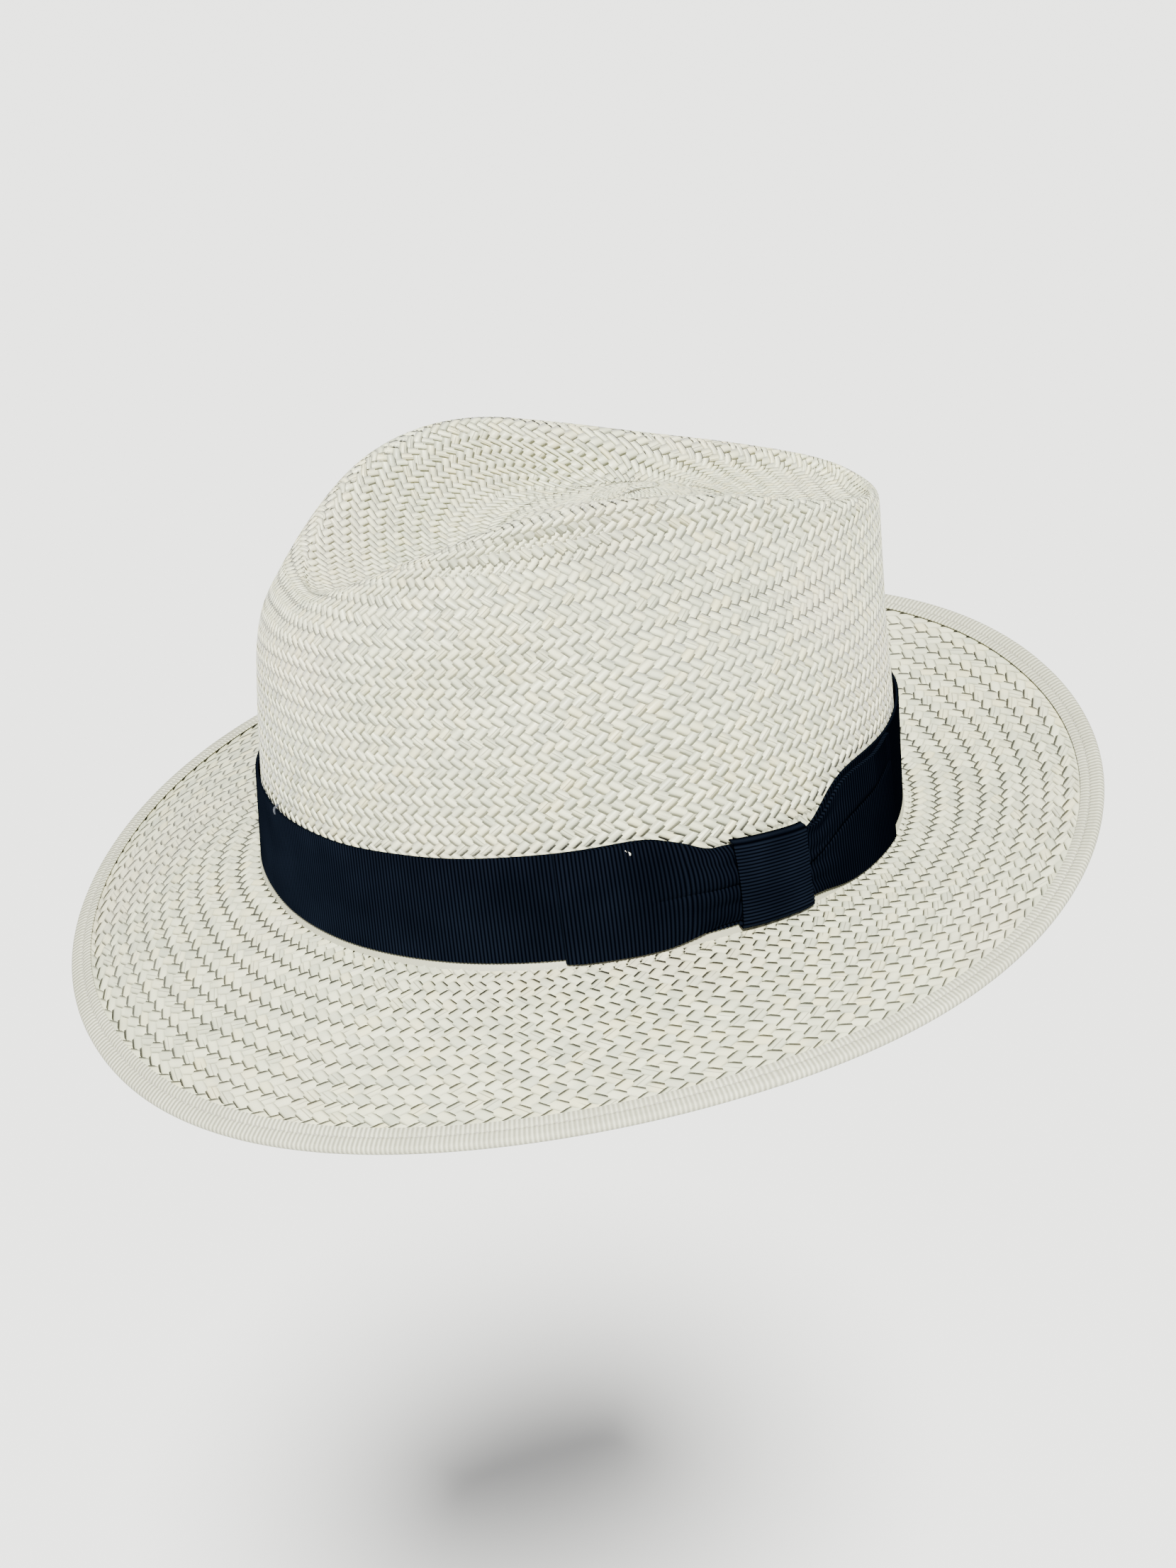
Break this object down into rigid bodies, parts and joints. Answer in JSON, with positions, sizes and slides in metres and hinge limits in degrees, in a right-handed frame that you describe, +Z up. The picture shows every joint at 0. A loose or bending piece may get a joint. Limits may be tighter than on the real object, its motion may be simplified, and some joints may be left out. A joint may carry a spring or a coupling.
{
  "type": "woven straw fedora hat",
  "caption": "Woven straw fedora with pinched crown, snapped brim bound in tape, navy ribbon band with a flat bow, and a leather sweatband.",
  "frame": {"origin": "centre of the head opening, in the plane where the crown meets the brim", "axes": "+Z up through the crown, -Y to the front of the hat, +X to the wearer's left, where the bow is"},
  "size_m": [0.285, 0.3267, 0.1641],
  "materials": {
    "straw": "bleached woven straw with a soft satin sheen",
    "binding_tape": "off-white ribbed tape, matt",
    "white_thread": "white sewing thread",
    "navy_grosgrain": "near-black navy ribbed ribbon, low sheen",
    "navy_thread": "navy sewing thread",
    "sweatband_leather": "smooth tan leather, satin",
    "reed": "smooth flexible plastic cord",
    "label_paper": "blank woven size label, matt"
  },
  "bodies": {
    "root": {"straw_body": "straw", "brim_binding": "binding_tape", "brim_stitch_top": "white_thread", "brim_stitch_under": "white_thread", "hat_band": "navy_grosgrain", "bow_ribbon": "navy_grosgrain", "bow_knot": "navy_grosgrain", "band_tack_left": "white_thread", "band_tack_front": "navy_thread", "band_tack_right": "navy_thread", "band_tack_back": "navy_thread", "sweatband": "sweatband_leather", "sweatband_reed": "reed", "sweatband_stitch": "white_thread", "sweatband_joint_tape": "navy_grosgrain", "size_label": "label_paper"}
  },
  "joints": []
}
